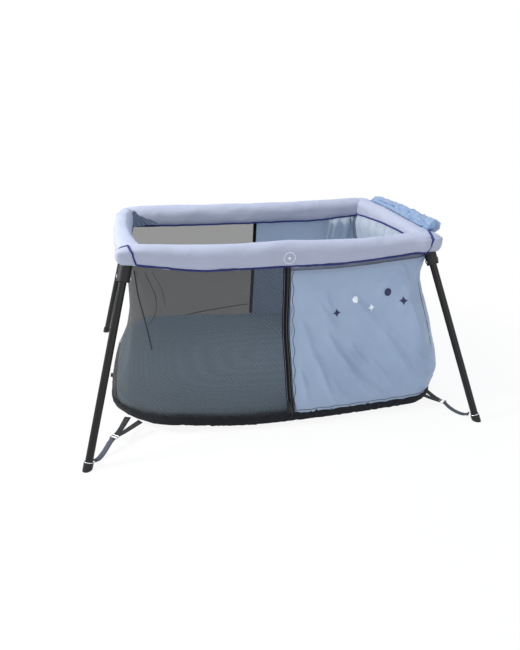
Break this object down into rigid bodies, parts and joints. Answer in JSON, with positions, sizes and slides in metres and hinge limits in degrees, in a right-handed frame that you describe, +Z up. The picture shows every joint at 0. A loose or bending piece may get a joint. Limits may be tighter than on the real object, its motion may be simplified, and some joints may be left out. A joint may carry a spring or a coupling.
{
  "type": "playpen",
  "caption": "Folding travel playpen: padded rim on a hinged tube frame with splayed legs, and a soft basket of mesh and satin walls over a bound base with a mattress.",
  "frame": {"origin": "on the floor, under the middle of the pen", "axes": "+X along the length from the mesh end to the satin end, +Y from the front (zip side) to the rear, +Z up"},
  "size_m": [1.3732, 1.056, 0.6699],
  "materials": {
    "coated_steel": "semi-gloss black powder coat",
    "black_plastic": "moulded, fine grain",
    "button_plastic": "moulded, smooth",
    "zinc_steel": "bright zinc plated",
    "chromed_wire": "polished",
    "rim_satin": "padded satin",
    "wall_satin": "printed satin",
    "canopy_satin": "rolled satin",
    "mesh": "fine knitted mesh",
    "mattress_fabric": "quilted cotton",
    "base_fabric": "coated black cloth",
    "black_webbing": "woven webbing",
    "navy_webbing": "woven webbing"
  },
  "bodies": {
    "left_end": {"left_end_rail": "coated_steel", "left_rim_sleeve": "rim_satin", "front_left_bracket": "black_plastic", "rear_left_bracket": "black_plastic", "front_left_leg_collar": "black_plastic", "rear_left_leg_collar": "black_plastic", "left_rivets": "zinc_steel", "left_mesh_wall": "mesh", "front_mesh_wall": "mesh", "rear_mesh_wall": "mesh", "base_panel": "base_fabric", "mattress": "mattress_fabric", "zip_tape": "black_webbing", "front_left_webbing": "black_webbing", "front_left_tether_ring": "chromed_wire", "front_left_tether_strap": "navy_webbing", "front_left_tether_hook": "chromed_wire"},
    "right_end": {"right_end_rail": "coated_steel", "right_rim_sleeve": "rim_satin", "front_right_bracket": "black_plastic", "rear_right_bracket": "black_plastic", "front_right_leg_collar": "black_plastic", "rear_right_leg_collar": "black_plastic", "right_rivets": "zinc_steel", "right_satin_wall": "wall_satin", "front_satin_wall": "wall_satin", "rear_satin_wall": "wall_satin", "canopy_roll": "canopy_satin", "front_right_webbing": "black_webbing", "front_right_tether_ring": "chromed_wire", "front_right_tether_strap": "navy_webbing", "front_right_tether_hook": "chromed_wire"},
    "front_left_half": {"front_left_rail": "coated_steel", "front_left_rim_sleeve": "rim_satin", "front_hinge_fork": "black_plastic", "front_hinge_pin": "zinc_steel", "front_button_spring": "zinc_steel"},
    "front_right_half": {"front_right_rail": "coated_steel", "front_right_rim_sleeve": "rim_satin", "front_hinge_tongue": "black_plastic"},
    "front_button": {"front_release_button": "button_plastic"},
    "rear_left_half": {"rear_left_rail": "coated_steel", "rear_left_rim_sleeve": "rim_satin", "rear_hinge_fork": "black_plastic", "rear_hinge_pin": "zinc_steel", "rear_button_spring": "zinc_steel"},
    "rear_right_half": {"rear_right_rail": "coated_steel", "rear_right_rim_sleeve": "rim_satin", "rear_hinge_tongue": "black_plastic"},
    "rear_button": {"rear_release_button": "button_plastic"},
    "front_left_leg": {"front_left_leg": "coated_steel", "front_left_foot_cap": "black_plastic"},
    "front_right_leg": {"front_right_leg": "coated_steel", "front_right_foot_cap": "black_plastic"},
    "rear_left_leg": {"rear_left_leg": "coated_steel", "rear_left_foot_cap": "black_plastic"},
    "rear_right_leg": {"rear_right_leg": "coated_steel", "rear_right_foot_cap": "black_plastic"},
    "zip_slider": {"zip_slider": "black_plastic"},
    "zip_pull": {"zip_pull": "navy_webbing"}
  },
  "joints": [
    {"name": "fold", "type": "hinge", "parent": "left_end", "child": "front_left_half", "pos_m": [-0.462, -0.29, 0.605], "axis": [0, 1, 0], "range_deg": [0, 86], "deforming": ["front_left_rim_sleeve", "front_right_rim_sleeve", "rear_left_rim_sleeve", "rear_right_rim_sleeve", "left_mesh_wall", "front_mesh_wall", "rear_mesh_wall", "right_satin_wall", "front_satin_wall", "rear_satin_wall", "base_panel", "mattress", "zip_tape"]},
    {"name": "front_middle_hinge", "type": "hinge", "parent": "front_left_half", "child": "front_right_half", "pos_m": [0, -0.29, 0.62], "axis": [0, 1, 0], "range_deg": [-172, 0]},
    {"name": "front_right_corner_hinge", "type": "hinge", "parent": "front_right_half", "child": "right_end", "pos_m": [0.462, -0.29, 0.605], "axis": [0, 1, 0], "range_deg": [0, 86]},
    {"name": "rear_left_corner_hinge", "type": "hinge", "parent": "left_end", "child": "rear_left_half", "pos_m": [-0.462, 0.29, 0.605], "axis": [0, 1, 0], "range_deg": [0, 86]},
    {"name": "rear_middle_hinge", "type": "hinge", "parent": "rear_left_half", "child": "rear_right_half", "pos_m": [0, 0.29, 0.62], "axis": [0, 1, 0], "range_deg": [-172, 0]},
    {"name": "front_button_press", "type": "slide", "parent": "front_left_half", "child": "front_button", "axis": [0, 1, 0], "range_m": [0, 0.004], "stiffness_N_per_m": 1500, "springref_m": -0.002, "deforming": ["front_button_spring"]},
    {"name": "rear_button_press", "type": "slide", "parent": "rear_left_half", "child": "rear_button", "axis": [0, -1, 0], "range_m": [0, 0.004], "stiffness_N_per_m": 1500, "springref_m": -0.002, "deforming": ["rear_button_spring"]},
    {"name": "front_left_leg_fold", "type": "hinge", "parent": "left_end", "child": "front_left_leg", "pos_m": [-0.51693, -0.31198, 0.54511], "axis": [0.95, 0.086, -0.3001], "range_deg": [0, 106], "deforming": ["front_left_webbing", "front_left_tether_ring", "front_left_tether_strap", "front_left_tether_hook"]},
    {"name": "front_right_leg_fold", "type": "hinge", "parent": "right_end", "child": "front_right_leg", "pos_m": [0.51693, -0.31198, 0.54511], "axis": [0.95, -0.086, 0.3001], "range_deg": [0, 106], "deforming": ["front_right_webbing", "front_right_tether_ring", "front_right_tether_strap", "front_right_tether_hook"]},
    {"name": "rear_left_leg_fold", "type": "hinge", "parent": "left_end", "child": "rear_left_leg", "pos_m": [-0.51693, 0.31198, 0.54511], "axis": [-0.9551, 0.0565, 0.2907], "range_deg": [0, 96]},
    {"name": "rear_right_leg_fold", "type": "hinge", "parent": "right_end", "child": "rear_right_leg", "pos_m": [0.51693, 0.31198, 0.54511], "axis": [-0.9551, -0.0565, -0.2907], "range_deg": [0, 96]},
    {"name": "zip_slide", "type": "slide", "parent": "left_end", "child": "zip_slider", "axis": [0, 0.1925, 0.9813], "range_m": [0, 0.463]},
    {"name": "zip_pull_flip", "type": "hinge", "parent": "zip_slider", "child": "zip_pull", "pos_m": [0, -0.4107, 0.09027], "axis": [-1, 0, 0], "range_deg": [0, 150]}
  ],
  "couplings": [
    {"joint": "front_middle_hinge", "follows": "fold", "ratio": -2},
    {"joint": "front_right_corner_hinge", "follows": "fold", "ratio": 1},
    {"joint": "rear_left_corner_hinge", "follows": "fold", "ratio": 1},
    {"joint": "rear_middle_hinge", "follows": "fold", "ratio": -2}
  ]
}
